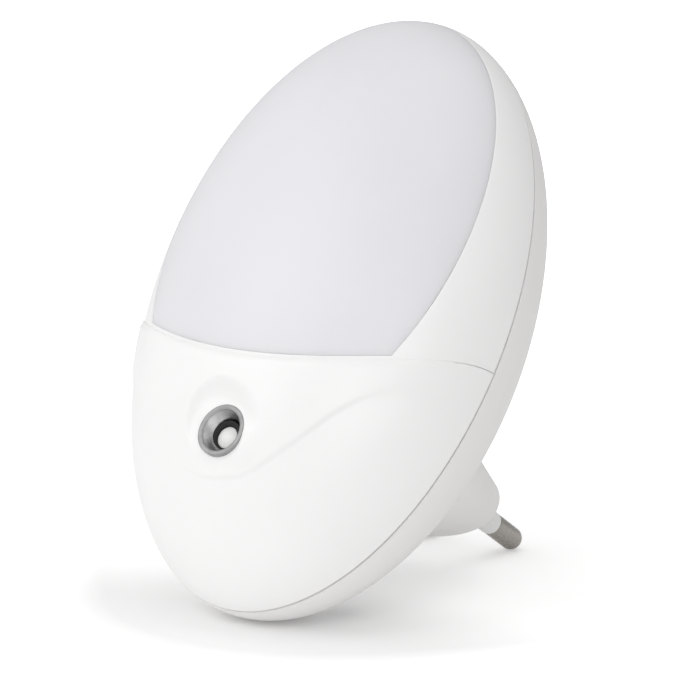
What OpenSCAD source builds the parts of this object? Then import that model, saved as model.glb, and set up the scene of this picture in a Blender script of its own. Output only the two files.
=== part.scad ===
// Oval plug-in night light with a dusk sensor and a two-pin plug.
// Inner frame: x to the right, y backwards along the pins, z up the long axis,
// with its origin at the middle of the parting plane. The whole lamp then leans
// back until its lower rim and its pin tips rest on the ground.

/* [Body] */
// Width of the oval body
body_w = 70; // [62:1:84]
// Height of the oval body
body_h = 105; // [92:1:126]
// Wall of every moulded shell
wall = 2; // [1.6:0.1:2.4]
// Depth of the bulging front, from the parting plane
front_depth = 21.6; // [18:0.1:26]
// Rise of the front's crown for each millimetre of depth
front_rake = 0.15; // [0:0.01:0.2]
// Depth of the back shell, behind the parting plane
back_depth = 14.3; // [13:0.1:16]
// Depth that the back's curve would reach if its end weren't flat
back_bulge = 24.5; // [21:0.1:28]
// Drop of the back shell for each millimetre of depth
back_rake = 0.1; // [0:0.01:0.15]

/* [Diffuser] */
// Width of the opal diffuser's oval
lens_w = 58.4; // [50:0.1:60]
// Height of the opal diffuser's oval
lens_h = 81.6; // [70:0.1:82]
// Height of that oval's middle above the body's middle
lens_z = 11.2; // [8:0.1:11.4]
// Thickness of the diffuser
lens_t = 1.8; // [1.2:0.1:2.4]
// Depth of the diffuser's skirt
lens_skirt = 4; // [3:0.1:5]

/* [Lower cover] */
// How much further the lower cover bulges than the diffuser
cover_lift = 0.5; // [0.3:0.1:1]
// Radius of the arc where diffuser and lower cover meet
arc_r = 71; // [60:1:90]
// Height of that arc at the middle, from the body's middle
arc_z = -15.5; // [-18:0.1:-12]
// Width of the rail between diffuser and lower cover
rail_w = 0.6; // [0.5:0.1:1.2]
// Rise of the wave-edged pad around the sensor
pad_lift = 0.4; // [0.2:0.1:0.8]
// Radius of the round dish around the sensor
dish_r = 7.3; // [6:0.1:9]

/* [Sensor] */
// Height of the sensor, from the body's middle
sensor_z = -28; // [-31:0.1:-26]
// Radius of the sensor's flange
sensor_r = 4.4; // [3.8:0.1:5]
// Distance of the sensor's face in front of the parting plane
sensor_y = 18.3; // [17:0.1:19]
// Length of the sensor cup behind its face
cup_len = 6; // [4:0.1:7]

/* [Plug] */
// Height of the pins, from the body's middle
plug_z = -17.1; // [-19:0.1:-15]
// Distance of the plug's face behind the parting plane
plug_y = 37.4; // [32:0.1:42]
// Width of the plug's oval face
face_w = 34.4; // [33:0.1:36]
// Height of that face
face_h = 14.6; // [13:0.1:15]
// Distance between the pins at the face
pin_gap = 18.6; // [18:0.1:19]
// Distance between the pins at their tips
tip_gap = 17.5; // [17:0.1:18]
// Radius of a bare pin
pin_r = 2; // [1.9:0.05:2.1]
// Length of a pin, from the face
pin_len = 19; // [18:0.1:20]
// Length of a pin's sleeve, from the face
sleeve_len = 10; // [9:0.1:11]

/* [Circuit] */
// Width of the driver board
board_w = 44; // [40:1:46]
// Height of the driver board
board_h = 35; // [32:1:36]
// Thickness of both boards
board_t = 1.6; // [1:0.1:2]
// Width of the LED board
led_w = 34; // [30:1:34]
// Height of the LED board
led_h = 26; // [22:1:28]
// Columns of LEDs
led_columns = 3; // [2:1:4]
// Rows of LEDs
led_rows = 2; // [1:1:3]

/* [Hidden] */
$fn = 96;

gap = 0.1;              // clearance between moulded pieces
seam = 0.25;            // open line between front and back
half_w = body_w / 2;
half_h = body_h / 2;
reach = 60;             // longer than any piece, for cutting prisms
cover_depth = front_depth + cover_lift;

// Pins: each leans inward by half of the difference between root and tip
toe = asin((pin_gap - tip_gap) / 2 / pin_len);
pin_core_r = pin_r - 0.5;
pin_root = 9;           // length of a pin inside the plug
tip_y = plug_y + (pin_len - pin_r) * cos(toe);

// Lowest points of the rim and of a pin's round tip, at a lean of t degrees
function rim_low(t) = -norm([back_bulge * (sin(t) + back_rake * cos(t)), half_h * cos(t)]);
function tip_low(t) = plug_z * cos(t) - tip_y * sin(t) - pin_r;
function lean_between(low, high, steps) = steps == 0 ? (low + high) / 2
    : tip_low((low + high) / 2) > rim_low((low + high) / 2)
        ? lean_between((low + high) / 2, high, steps - 1)
        : lean_between(low, (low + high) / 2, steps - 1);
lean = lean_between(5, 70, 40);
rest_z = -rim_low(lean);

// Foremost and rearmost points of the leaning lamp, for the middle of its footprint
front_end = -norm([cover_depth * (cos(lean) - front_rake * sin(lean)), half_h * sin(lean)]);
tip_end = tip_y * cos(lean) + plug_z * sin(lean) + pin_r;
crown_end = norm([back_bulge * (cos(lean) - back_rake * sin(lean)), half_h * sin(lean)]);
mid_y = (front_end + max(tip_end, crown_end)) / 2;

// Screws and bosses
tray_bosses = [[14, 36], [21, 6]];
board_boss = [18, -6];
case_boss = [9, -42];
screw_r = 1.2;
head_r = 2.4;
boss_r = 3.2;

// Depths of the inner layers, negative in front of the parting plane
tray_y = -3.2;
tray_t = 1.5;
led_y = tray_y - board_t;
board_y = 3;
board_back = board_y + board_t;
board_mid = -19;

module stand() translate([0, -mid_y, rest_z]) rotate([-lean, 0, 0]) children();

module mirrored() {
    children();
    mirror([1, 0, 0]) children();
}

// A solid drawn along +Z, laid along +Y from a point
module back_from(x, y, z) translate([x, y, z]) rotate([-90, 0, 0]) children();

module rod(x, z, r, from_y, to_y) back_from(x, from_y, z) cylinder(r = r, h = to_y - from_y);

module block(x, y, z, size) translate([x, y, z] - size / 2) cube(size);

// The front's crowned form, shrunk by an inset
module dome(inset, depth, pole = 90) {
    r = half_w - inset;
    flat = (depth - inset) / r;
    tall = (half_h - inset) / r;
    multmatrix([[1, 0, 0, 0], [0, flat, 0, 0], [0, -front_rake * flat, tall, 0]])
        rotate([pole, 0, 0]) sphere(r = r);
}

// The same form in eight sectors, open round its crown
module dome_ring(inset, depth) {
    r = half_w - inset;
    flat = (depth - inset) / r;
    tall = (half_h - inset) / r;
    multmatrix([[1, 0, 0, 0], [0, flat, 0, 0], [0, -front_rake * flat, tall, 0]]) rotate([90, 0, 0])
        for (a = [0 : 45 : 315]) rotate([0, 0, a]) rotate_extrude(angle = 45) intersection() {
            circle(r = r);
            translate([crown_hole - inset / 10, 0]) square([r, r]);
        }
}

crown_hole = 8;
module front_half() translate([-reach, -reach - seam, -reach]) cube([2 * reach, reach, 2 * reach]);

module front_layer(outer, inner, depth, pole = 90) intersection() {
    difference() {
        dome(outer, depth, pole);
        dome(inner, depth, pole);
    }
    front_half();
}

// Prism of the diffuser's outline, grown by an amount
module lens_prism(grow) intersection() {
    translate([0, reach, lens_z]) scale([1, 1, (lens_h / 2 + grow) / (lens_w / 2 + grow)])
        rotate([90, 0, 0]) cylinder(r = lens_w / 2 + grow, h = 2 * reach);
    arc_prism(grow - rail_w);
}

// Prism of everything above the arc where the lower cover begins
module arc_prism(grow) rod(0, arc_z + arc_r, arc_r + grow, -reach, reach);

// Prism of the body's oval, shrunk by an inset
module oval_prism(inset, from_y, to_y) scale([1, 1, (half_h - inset) / (half_w - inset)])
    rod(0, 0, half_w - inset, from_y, to_y);

// The back's form: a curved rim that ends in a flat back
module back_form(inset, start) intersection() {
    back_dome(inset);
    translate([-reach, start, -reach]) cube([2 * reach, back_depth - inset - start, 2 * reach]);
}

module back_dome(inset) {
    r = half_w - inset;
    flat = (back_bulge - inset) / r;
    tall = (half_h - inset) / r;
    multmatrix([[1, 0, 0, 0], [0, flat, 0, 0], [0, -back_rake * flat, tall, 0]])
        rotate([90, 0, 0]) sphere(r = r);
}

// The flared block that carries the plug's face, shrunk by an inset
flare_w = 56;           // width of the block where it meets the back
flare_h = 28;
flare_y = 11;
flare_z = -19;
module plug_block(inset, start) hull() {
    translate([0, 0, plug_z]) scale([1, 1, (face_h / 2 - inset) / (face_w / 2 - inset)])
        rod(0, 0, face_w / 2 - inset, plug_y - inset - 1, plug_y - inset, $fn = 48);
    translate([0, 0, flare_z]) scale([1, 1, (flare_h / 2 - inset) / (flare_w / 2 - inset)])
        rod(0, 0, flare_w / 2 - inset, start, start + 1, $fn = 48);
}

module at_pin(side) translate([side * pin_gap / 2, plug_y, plug_z]) rotate([0, 0, side * toe])
    rotate([-90, 0, 0]) children();

module at_sensor() translate([0, -sensor_y, sensor_z]) rotate([90, 0, 0]) children();

module back_shell() color("whitesmoke") stand() difference() {
    union() {
        back_form(0, 0);
        plug_block(0, flare_y);
        mirrored() for (p = tray_bosses) rod(p[0], p[1], boss_r, tray_y + tray_t, 5);
    }
    difference() {
        back_form(wall, -1);
        back_bosses();
    }
    plug_block(wall, flare_y - 4);
    for (side = [-1, 1]) at_pin(side)
        translate([0, 0, -2 * wall]) cylinder(r = sleeve_r + gap, h = 3 * wall);
    mirrored() {
        for (p = tray_bosses) rod(p[0], p[1], screw_r + gap / 2, tray_y, 6);
        rod(board_boss[0], board_boss[1], screw_r + gap / 2, 0, 10);
        rod(case_boss[0], case_boss[1], screw_r + 2 * gap, -1, 10);
        rod(case_boss[0], case_boss[1], head_r + 0.5, case_head_y, reach);
    }
}

sleeve_r = pin_r + 0.2;
case_head_y = 6;        // floor of the deep pockets for the case screws
module back_bosses() mirrored() {
    for (p = tray_bosses) rod(p[0], p[1], boss_r, tray_y + tray_t, reach);
    rod(board_boss[0], board_boss[1], boss_r, board_back, reach);
    rod(case_boss[0], case_boss[1], boss_r + 0.8, gap, reach);
}

lens_wall = 1.5;        // wall round the diffuser's seat
seat = 1.3;             // thickness of the ledge behind the diffuser's skirt
module front_bezel() color("white") stand() difference() {
    intersection() {
        dome_ring(0, front_depth);
        front_half();
        arc_prism(0);
    }
    difference() {
        lens_prism(0);
        dome(lens_skirt + gap, front_depth);
    }
    lens_prism(-lens_wall);
    difference() {
        dome_ring(wall, front_depth);
        lens_prism(lens_wall);
    }
    dome(lens_skirt + seat, front_depth);
}

// Strip along the arc that backs the joint of diffuser and lower cover
module cover_rail() color("white") stand() difference() {
    intersection() {
        front_layer(wall + cover_lift, lens_skirt + seat / 2, front_depth);
        arc_prism(3);
    }
    arc_prism(gap);
}

// Tongues that snap inside the back shell's edge
tongue_w = 6;
tongue_t = 1.1;
module snap_tongues(angles) for (a = angles) intersection() {
    difference() {
        oval_prism(wall + 0.5, -6, 3);
        oval_prism(wall + 0.5 + tongue_t, -7, 4);
    }
    rotate([0, -a, 0]) translate([0, -7, -tongue_w / 2]) cube([reach, 11, tongue_w]);
}

module diffuser() color("lavender") stand() {
    intersection() {
        front_layer(0, lens_t, front_depth, 0);
        lens_prism(-gap);
    }
    difference() {
        intersection() {
            front_layer(lens_t / 2, lens_skirt, front_depth, 0);
            lens_prism(-gap);
        }
        lens_prism(-lens_wall);
    }
}

// Outline of the raised pad: round the sensor, then a wave up to the right
pad_r = 7.6;
wave = [[-14, -27], [-10.8, -32], [-6.8, -34.6], [-3, -35.5], [1, -35.4], [4.6, -34.4],
    [7.6, -32.6], [10, -30.5], [12.9, -27.9], [15.8, -24.9], [18.4, -21.9], [21.5, -18.9],
    [24.6, -16.5], [28, -14.4], [31.9, -12], [0, -12], [-14, -16]];
module pad_prism() translate([0, 1, 0]) rotate([90, 0, 0]) linear_extrude(height = reach)
    polygon(wave);

dish_drop = 0.4;        // from the sensor's face back to the dish's floor
collar_h = 2.5;         // cone that fills in below the sensor
module lower_cover() color("white") stand() difference() {
    union() {
        snap_tongues([-35, -145]);
        difference() {
            front_layer(0, wall, cover_depth);
            arc_prism(gap);
        }
        difference() {
            intersection() {
                front_layer(-pad_lift, wall / 2, cover_depth);
                pad_prism();
            }
            arc_prism(2);
        }
        at_sensor() translate([0, 0, -wall - 2]) cylinder(r = sensor_r + gap + 1.2, h = 2.5);
        at_sensor() translate([0, 0, -dish_drop - collar_h])
            cylinder(r1 = dish_r + 0.7, r2 = sensor_r + gap + 0.5, h = collar_h);
        intersection() {
            at_sensor() translate([0, 0, -dish_drop - wall]) cylinder(r = dish_r + 1.2, h = wall);
            dome(wall / 2, cover_depth);
        }
        mirrored() intersection() {
            rod(case_boss[0], case_boss[1], boss_r, -reach, -seam);
            dome(wall / 2, cover_depth);
        }
    }
    at_sensor() translate([0, 0, -dish_drop]) cylinder(r = dish_r, h = reach);
    at_sensor() translate([0, 0, -reach / 2]) cylinder(r = sensor_r + gap, h = reach);
    mirrored() rod(case_boss[0], case_boss[1], screw_r + gap / 2, -8, 1);
}

bowl_r = 3.55;          // radius of the cup's bowl where it leaves the flange
bowl_depth = 2.3;
well_r = 2.6;
module sensor_cup() color("silver") stand() at_sensor() difference() {
    translate([0, 0, -cup_len]) cylinder(r = sensor_r, h = cup_len);
    translate([0, 0, -0.3]) cylinder(r = bowl_r + 0.1, h = 2);
    translate([0, 0, -bowl_depth]) cylinder(r1 = well_r, r2 = bowl_r, h = bowl_depth - 0.3 + gap / 10);
    translate([0, 0, -cup_len - 1]) cylinder(r = well_r, h = cup_len);
}

eye_r = 1.85;           // round lens at the bottom of the cup
eye_rise = 0.6;
eye_top = 1.9;          // depth of its crown behind the sensor's face
module sensor_lens() color("gainsboro") stand() at_sensor() {
    ball = (pow(eye_r, 2) + pow(eye_rise, 2)) / (2 * eye_rise);
    foot = -eye_top - eye_rise;
    translate([0, 0, foot - 0.7]) cylinder(r = eye_r, h = 0.7);
    intersection() {
        translate([0, 0, -eye_top - ball]) sphere(r = ball);
        translate([0, 0, foot]) cylinder(r = 2 * eye_r, h = 2);
    }
}

cell_t = 2;
module photocell() color("dimgray") stand() at_sensor() difference() {
    translate([0, 0, -cup_len - gap - cell_t]) cylinder(r = well_r - gap, h = cup_len + gap + cell_t - 2.7);
    translate([0, 0, -eye_top - eye_rise - 0.7 - gap]) cylinder(r = eye_r + gap, h = 3);
}

lead_r = 0.3;
module photocell_leads() color("lightgray") stand() for (side = [-1, 1])
    rod(side * 1.27, sensor_z, lead_r, -sensor_y + cup_len + gap + cell_t, board_y);

module light_baffle() color("dimgray") stand() difference() {
    rod(0, sensor_z, sensor_r, -sensor_y + cup_len + gap, board_y);
    rod(0, sensor_z, sensor_r - 1, -reach, reach);
}

wire_slot = 10;
module reflector_tray() color("white") stand() {
    difference() {
        intersection() {
            lens_prism(-lens_skirt);
            block(0, tray_y + tray_t / 2, 0, [body_w, tray_t, body_h]);
        }
        mirrored() for (p = tray_bosses) rod(p[0], p[1], screw_r + 2 * gap, -reach, reach);
        block(0, tray_y, slot_z, [wire_slot, 4 * tray_t, 3]);
    }
    mirrored() rod(peg_x, led_z, peg_r, led_y - 0.8, tray_y);
}

slot_z = -2;
led_z = 16;
peg_x = 14;
peg_r = 1.2;

module screw(x, z, head_y, tip_y, head_t) {
    step = head_y < tip_y ? head_t : -head_t;
    difference() {
        rod(x, z, head_r, min(head_y, head_y + step), max(head_y, head_y + step));
        for (a = [0, 90]) translate([x, head_y, z]) rotate([0, a, 0]) cube([2.6, 1.4, 0.6], center = true);
    }
    rod(x, z, screw_r, min(head_y + step, tip_y), max(head_y + step, tip_y));
}

module tray_screws() color("silver") stand() mirrored() for (p = tray_bosses)
    screw(p[0], p[1], tray_y - 1.6, 5, 1.6);

module board_screws() color("silver") stand() mirrored()
    screw(board_boss[0], board_boss[1], board_y - 1.6, 9, 1.6);

module case_screws() color("silver") stand() mirrored()
    screw(case_boss[0], case_boss[1], case_head_y + 1.8, -7, 1.8);

module led_board() color("ivory") stand() difference() {
    block(0, led_y + board_t / 2, led_z, [led_w, board_t, led_h]);
    mirrored() rod(peg_x, led_z, peg_r + gap, -reach, reach);
}

led_size = [2.8, 0.8, 3.5];
led_pitch = 8;
module leds() color("khaki") stand()
    for (i = [0 : led_columns - 1], j = [0 : led_rows - 1])
        block((i - (led_columns - 1) / 2) * led_pitch, led_y - led_size[1] / 2,
            led_z + (j - (led_rows - 1) / 2) * led_pitch, led_size);

// A round wire along a chain of points
module wire(points, r) for (i = [0 : len(points) - 2]) {
    run = points[i + 1] - points[i];
    along = norm(run);
    translate(points[i]) rotate([0, acos(run[2] / along), atan2(run[1], run[0])])
        cylinder(r = r, h = along, $fn = 24);
    if (i > 0) translate(points[i]) sphere(r = r, $fn = 24);
}

wire_r = 0.5;
module led_wires() color("firebrick") stand() for (x = [-2, 2])
    wire([[x, board_y, -5], [x, 0, -5], [x, 0, slot_z], [x, led_y - 1.2, slot_z],
        [x, led_y - 1.2, led_z - led_h / 2 + 2.5], [x, led_y, led_z - led_h / 2 + 2.5]], wire_r);

module driver_board() color("darkolivegreen") stand() difference() {
    intersection() {
        block(0, board_y + board_t / 2, board_mid, [board_w, board_t, board_h]);
        oval_prism(wall + 2.5, 0, 8);
    }
    mirrored() rod(board_boss[0], board_boss[1], screw_r + 2 * gap, -reach, reach);
}

film_size = [15, 11, 7];
module film_capacitor() color("gold") stand()
    block(-11, board_y - film_size[1] / 2, -15.5, film_size);

module electrolytic_capacitor() color("midnightblue") stand() {
    rod(9.5, -15.5, 4, board_y - 11, board_y);
}

module bridge_rectifier() color("dimgray") stand() block(-8.5, board_y - 1.6, -6, [8, 3.2, 6.4]);

module transistor() color("dimgray") stand() difference() {
    rod(8, -5, 2.3, board_y - 4.6, board_y);
    block(8, board_y, -2.4, [6, 12, 2.4]);
}

// An axial part lying on the board, with its bent leads
module axial(x, z, r, long) {
    translate([x, board_y - r, z - long / 2]) cylinder(r = r, h = long);
    for (side = [-1, 1]) {
        tip = z + side * (long / 2 + 1.5);
        translate([x, board_y - r, min(z, tip)]) cylinder(r = lead_r, h = abs(tip - z));
        rod(x, tip, lead_r, board_y - r, board_y);
    }
}

module resistors() color("tan") stand() for (x = [-17, -13, -9]) axial(x, -27, 1.2, 6);

module fuse_resistor() color("seagreen") stand() axial(12, -26, 1.7, 8);

module pin_carrier() color("ivory") stand() difference() {
    intersection() {
        plug_block(wall + 4 * gap, flare_y - 4);
        block(0, plug_y - wall - carrier_y - carrier_t / 2, plug_z, [face_w, carrier_t, face_h]);
    }
    for (side = [-1, 1]) at_pin(side) translate([0, 0, -reach]) cylinder(r = pin_core_r + gap / 2, h = reach);
}

flange_t = 1.2;
carrier_y = flange_t + 2 * gap;
carrier_t = 4.5;

module pin(side) stand() at_pin(side) {
    translate([0, 0, -pin_root]) cylinder(r = pin_core_r, h = pin_root + sleeve_len);
    translate([0, 0, -wall - gap - flange_t]) cylinder(r = pin_r + 0.6, h = flange_t);
    translate([0, 0, sleeve_len]) cylinder(r = pin_r, h = pin_len - pin_r - sleeve_len);
    translate([0, 0, pin_len - pin_r]) intersection() {
        sphere(r = pin_r);
        cylinder(r = 2 * pin_r, h = 2 * pin_r);
    }
}

module pin_left() color("silver") pin(-1);

module pin_right() color("silver") pin(1);

module pin_sleeve(side) stand() at_pin(side) difference() {
    translate([0, 0, -wall]) cylinder(r1 = sleeve_r, r2 = pin_r + 0.02, h = wall + sleeve_len);
    translate([0, 0, -reach]) cylinder(r = pin_core_r + gap / 2, h = 2 * reach);
}

module pin_sleeve_left() color("whitesmoke") pin_sleeve(-1);

module pin_sleeve_right() color("whitesmoke") pin_sleeve(1);

// Flat strips from the board's back to the ends of the pins
strip = [2.4, 0.5];
root_end = plug_y - pin_root - gap;
module contact_tabs() color("goldenrod") stand() mirrored()
    block(pin_gap / 2, (board_back + root_end) / 2, plug_z, [strip[0], root_end - board_back, strip[1]]);

back_shell();
front_bezel();
diffuser();
lower_cover();
cover_rail();
sensor_cup();
sensor_lens();
photocell();
photocell_leads();
light_baffle();
reflector_tray();
tray_screws();
led_board();
leds();
led_wires();
driver_board();
board_screws();
film_capacitor();
electrolytic_capacitor();
bridge_rectifier();
transistor();
resistors();
fuse_resistor();
pin_carrier();
pin_left();
pin_right();
pin_sleeve_left();
pin_sleeve_right();
contact_tabs();
case_screws();
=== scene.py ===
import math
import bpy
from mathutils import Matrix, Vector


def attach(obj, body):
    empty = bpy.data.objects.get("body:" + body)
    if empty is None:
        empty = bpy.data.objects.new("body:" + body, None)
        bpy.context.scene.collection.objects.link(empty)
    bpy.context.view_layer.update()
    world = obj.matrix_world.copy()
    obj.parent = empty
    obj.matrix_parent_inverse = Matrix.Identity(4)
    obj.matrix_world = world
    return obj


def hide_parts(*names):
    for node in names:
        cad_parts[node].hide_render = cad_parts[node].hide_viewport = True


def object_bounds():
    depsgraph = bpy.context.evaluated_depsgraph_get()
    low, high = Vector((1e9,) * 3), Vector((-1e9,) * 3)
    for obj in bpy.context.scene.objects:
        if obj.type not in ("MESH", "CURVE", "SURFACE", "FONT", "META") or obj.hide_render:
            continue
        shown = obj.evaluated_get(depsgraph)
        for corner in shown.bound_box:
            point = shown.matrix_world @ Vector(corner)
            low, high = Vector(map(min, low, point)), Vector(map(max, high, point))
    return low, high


bl_info = {
    "name": "Plug-in night light",
    "version": (1, 0, 0),
    "blender": (4, 5, 0),
    "location": "View3D > Sidebar > Night light",
    "description": "Builds the shells, diffuser, sensor and pins of a leaning oval night light",
    "category": "Object",
}

import bmesh
import bpy
import numpy as np
from bpy.props import FloatProperty, FloatVectorProperty, IntProperty, PointerProperty
from bpy.types import Operator, Panel, PropertyGroup
from mathutils import Matrix, Vector

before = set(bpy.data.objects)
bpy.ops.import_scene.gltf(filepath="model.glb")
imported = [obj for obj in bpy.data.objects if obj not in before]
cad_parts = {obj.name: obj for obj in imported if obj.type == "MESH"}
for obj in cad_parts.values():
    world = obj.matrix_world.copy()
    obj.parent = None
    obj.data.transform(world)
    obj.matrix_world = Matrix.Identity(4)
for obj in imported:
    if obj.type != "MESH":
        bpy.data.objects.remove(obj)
cad_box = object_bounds()
CAD_LOW, CAD_HIGH = (np.array(corner, dtype=float) for corner in cad_box)

# Sizes are in millimetres in the lamp's own frame: x to the right, y backwards
# along the pins, z up the long axis, from the middle of the parting plane.
HALF_W, HALF_H = 35.0, 52.5
FRONT_RAKE, BACK_RAKE = 0.15, 0.1  # how far each side leans up or down with its depth
BACK_DEPTH, BACK_BULGE = 14.8, 25.3  # the back's flat end, and the bulge that it cuts off
SHOULDER = 0.8  # how softly the bulge turns into the flat end
SEAM = 0.42  # where the front's edge stops before the parting plane
LENS_MIDDLE = 11.2
ARC_RADIUS, ARC_LOW = 71.0, -15.5  # the arc between diffuser and lower cover
COVER_GAP = 0.04
SENSOR = (0.0, -18.3, -28.0)
EYE_SHIFT = (-0.1, -0.4)  # the photocell and its lens stand a little off the cup's middle
DISH_MIDDLE, DISH_DEPTH = (-1.0, -26.4), 0.9
DISH_OPENS = 150  # degrees: the side where the dish's edge shows
PLUG_Y, PLUG_Z = 37.4, -17.1
FACE_W, FACE_H, FACE_POWER = 33.4, 14.3, 2.25  # the plug face's full oval
FLARE_W, FLARE_H, FLARE_Y, FLARE_Z = 27.2, 13.6, 11.5, -19.6  # half sizes and place of the block's base
PIN_GAP, TIP_GAP, PIN_LENGTH = 18.6, 17.5, 19.0
SCREW_AT, POCKET_Y, POCKET_R = (9.0, -42.0), 6.0, 2.9
LEAN = math.radians(33.684493)
FOOT = (0.0, -2.141912, 46.396318)


# ---- sizes


def millimetres(name, about, default, low, high):
    return FloatProperty(name=name, description=f"{about}, in millimetres", default=default, min=low, max=high)


def steps(name, about, default, low, high):
    return IntProperty(name=name, description=about, default=default, min=low, max=high)


def tone(name, about, color):
    return FloatVectorProperty(
        name=name, description=f"Colour of {about}", subtype="COLOR", size=3, default=color, min=0.0, max=1.0
    )


class LampSizes(PropertyGroup):
    front_depth: millimetres("Front depth", "Bulge of bezel and diffuser", 21.6, 18.0, 26.0)
    cover_lift: millimetres("Cover lift", "How far the lower cover stands proud", 0.5, 0.0, 1.0)
    pad_lift: millimetres("Pad lift", "Height of the wave-edged pad", 0.4, 0.0, 0.8)
    lens_width: millimetres("Diffuser width", "Width of the diffuser's oval", 58.4, 50.0, 60.0)
    lens_height: millimetres("Diffuser height", "Height of the diffuser's oval", 81.6, 70.0, 82.0)
    rail_width: millimetres("Rail", "Width of the rail under the diffuser", 0.6, 0.4, 1.2)
    dish_radius: millimetres("Dish", "Radius of the dish round the sensor", 6.7, 6.0, 9.0)
    around: steps("Steps around", "Points around each shell", 320, 96, 480)
    across: steps("Steps across", "Rings across each shell", 44, 12, 96)


class LampLooks(PropertyGroup):
    front_white: tone("Front", "bezel and lower cover", (0.885, 0.878, 0.876))
    back_white: tone("Back", "the back shell", (0.826, 0.815, 0.81))
    opal: tone("Diffuser", "the opal diffuser", (0.748, 0.742, 0.772))
    nickel: tone("Pins", "the plated pins", (0.41, 0.388, 0.36))


# ---- frames and curves


def stand(points):
    """Turns points of the lamp's own frame into standing metres."""
    p = np.asarray(points, dtype=float)
    c, s = math.cos(LEAN), math.sin(LEAN)
    x, y, z = p[..., 0], p[..., 1], p[..., 2]
    return np.stack([x + FOOT[0], y * c + z * s + FOOT[1], -y * s + z * c + FOOT[2]], axis=-1) * 0.001


def unit(v):
    return v / np.maximum(np.linalg.norm(v, axis=-1, keepdims=True), 1e-12)


def dome_depth(x, z, depth):
    """How far the crowned front stands before the parting plane at (x, z)."""
    b2 = HALF_H**2
    qa = 1 / depth**2 + FRONT_RAKE**2 / b2
    qb = FRONT_RAKE * z / b2
    qc = x**2 / HALF_W**2 + z**2 / b2 - 1
    return (qb + np.sqrt(np.maximum(qb**2 - qa * qc, 0))) / qa


def dome_direction(x, z, depth):
    """Unit direction, on the ball that the front is stretched from, above (x, z)."""
    w = dome_depth(x, z, depth)
    return unit(np.stack([x / HALF_W, -w / depth, (z - FRONT_RAKE * w) / HALF_H], axis=-1))


def dome_point(n, depth):
    w = -n[..., 1] * depth
    return np.stack([HALF_W * n[..., 0], -w, HALF_H * n[..., 2] + FRONT_RAKE * w], axis=-1)


def dome_normal(n, depth):
    """Outward normal of the stretched and sheared ball."""
    gx, gy, gz = n[..., 0] / HALF_W, n[..., 1] / depth, n[..., 2] / HALF_H
    return unit(np.stack([gx, gy + FRONT_RAKE * gz, gz], axis=-1))


def seam_direction(angle, depth):
    ny = np.full_like(angle, -SEAM / depth)
    r = np.sqrt(1 - ny**2)
    return np.stack([r * np.cos(angle), ny, r * np.sin(angle)], axis=-1)


def arc_height(x, grow=0.0):
    """Height of the arc between diffuser and lower cover."""
    return ARC_LOW + ARC_RADIUS - np.sqrt(np.maximum((ARC_RADIUS + grow) ** 2 - x**2, 0))


def lens_outline(sizes, grow, arc_grow, count):
    """The diffuser's outline in x and z, from its right corner round the top."""
    a, b = sizes.lens_width / 2 + grow, sizes.lens_height / 2 + grow
    arc = arc_grow - sizes.rail_width
    t = np.linspace(-math.pi / 2, 0.6, 4001)
    x, z = a * np.cos(t), LENS_MIDDLE + b * np.sin(t)
    low = t[np.argmin(np.abs(z - arc_height(x, arc)) + (x < a * 0.3) * 99)]
    n_top = int(count * 0.72)
    u = np.linspace(low, math.pi - low, n_top)
    top = np.stack([a * np.cos(u), LENS_MIDDLE + b * np.sin(u)], axis=-1)
    xs = np.linspace(-a * math.cos(low), a * math.cos(low), count - n_top + 2)[1:-1]
    bottom = np.stack([xs, arc_height(xs, arc)], axis=-1)
    return np.concatenate([top, bottom])


def resample(loop, count):
    """The closed loop again, in equal steps along its length."""
    ring = np.vstack([loop, loop[:1]])
    d = np.concatenate([[0], np.cumsum(np.linalg.norm(np.diff(ring, axis=0), axis=1))])
    t = np.linspace(0, d[-1], count, endpoint=False)
    return np.stack([np.interp(t, d, ring[:, k]) for k in range(ring.shape[1])], axis=-1)


def ease(t):
    """Smooth rise from 0 to 1."""
    t = np.clip(t, 0, 1)
    return t * t * (3 - 2 * t)


def slerp(a, b, t):
    dot = np.clip((a * b).sum(-1, keepdims=True), -1, 1)
    w = np.arccos(dot)
    s = np.maximum(np.sin(w), 1e-9)
    return unit(np.sin((1 - t) * w) / s * a + np.sin(t * w) / s * b)


# ---- meshes


def ring_faces(rings, count, start=0):
    """Faces between closed rings of as many points each, one ring after the other."""
    faces = []
    for r in range(rings - 1):
        for k in range(count):
            a = start + r * count + k
            b = start + r * count + (k + 1) % count
            faces.append((a, b, b + count, a + count))
    return faces


def face_out(bm):
    """Turns every face outwards, also where the farthest one misleads the first pass."""
    bmesh.ops.recalc_face_normals(bm, faces=bm.faces)
    if bm.calc_volume(signed=True) < 0:
        bmesh.ops.reverse_faces(bm, faces=bm.faces)


def clean_up(mesh, join=0.0, thin=0.0):
    """Joins points that meet, drops faces without area and turns the rest outwards."""
    bm = bmesh.new()
    bm.from_mesh(mesh)
    if join:
        bmesh.ops.remove_doubles(bm, verts=bm.verts, dist=join)
    if thin:
        bmesh.ops.dissolve_degenerate(bm, edges=bm.edges, dist=thin)
    face_out(bm)
    bm.to_mesh(mesh)
    bm.free()


def smooth_by(mesh, degrees):
    mesh.shade_smooth()
    mesh.set_sharp_from_angle(angle=math.radians(degrees))


def add_piece(name, points, faces, material, node, smooth=40):
    """A finished piece from points in the lamp's frame, kept inside the CAD's box."""
    mesh = bpy.data.meshes.new(name)
    place = np.clip(stand(points), CAD_LOW, CAD_HIGH)
    mesh.from_pydata([tuple(p) for p in place], [], faces)
    clean_up(mesh, 2e-6, 1e-7)
    smooth_by(mesh, smooth)
    obj = bpy.data.objects.new(name, mesh)
    bpy.context.scene.collection.objects.link(obj)
    finish_piece(obj, material, node)
    return obj


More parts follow.
